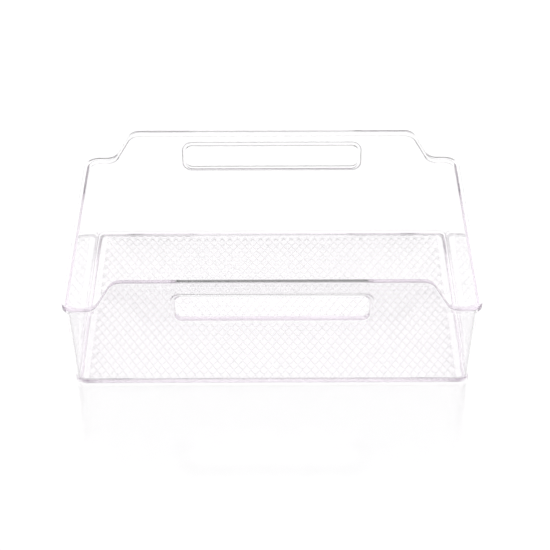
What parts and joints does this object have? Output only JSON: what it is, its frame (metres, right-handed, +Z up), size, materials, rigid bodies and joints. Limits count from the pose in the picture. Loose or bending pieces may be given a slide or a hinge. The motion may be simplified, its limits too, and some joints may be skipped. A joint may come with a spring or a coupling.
{
  "type": "fridge bin",
  "caption": "Wide clear open-top storage bin for a fridge shelf, with raised long walls that each hold a hand slot, and an embossed floor.",
  "frame": {"origin": "middle of the underside, on the surface the bin stands on", "axes": "+X along the long walls, -Y the front, +Z up; the bin is the same front to back and left to right"},
  "size_m": [0.3156, 0.2042, 0.1043],
  "materials": {
    "clear_plastic": "clear, glossy, water-white with a faint lilac cast at the edges"
  },
  "bodies": {
    "root": {"back_handle_collar": "clear_plastic", "back_left_corner_rim": "clear_plastic", "back_left_corner_wall": "clear_plastic", "back_right_corner_rim": "clear_plastic", "back_right_corner_wall": "clear_plastic", "back_rim_left_rise": "clear_plastic", "back_rim_raised": "clear_plastic", "back_rim_right_rise": "clear_plastic", "back_wall_bridge": "clear_plastic", "back_wall_left_shoulder": "clear_plastic", "back_wall_lower": "clear_plastic", "back_wall_right_shoulder": "clear_plastic", "floor_panel": "clear_plastic", "front_handle_collar": "clear_plastic", "front_left_corner_rim": "clear_plastic", "front_left_corner_wall": "clear_plastic", "front_right_corner_rim": "clear_plastic", "front_right_corner_wall": "clear_plastic", "front_rim_left_rise": "clear_plastic", "front_rim_raised": "clear_plastic", "front_rim_right_rise": "clear_plastic", "front_wall_bridge": "clear_plastic", "front_wall_left_shoulder": "clear_plastic", "front_wall_lower": "clear_plastic", "front_wall_right_shoulder": "clear_plastic", "left_rim": "clear_plastic", "left_wall": "clear_plastic", "right_rim": "clear_plastic", "right_wall": "clear_plastic"}
  },
  "joints": []
}
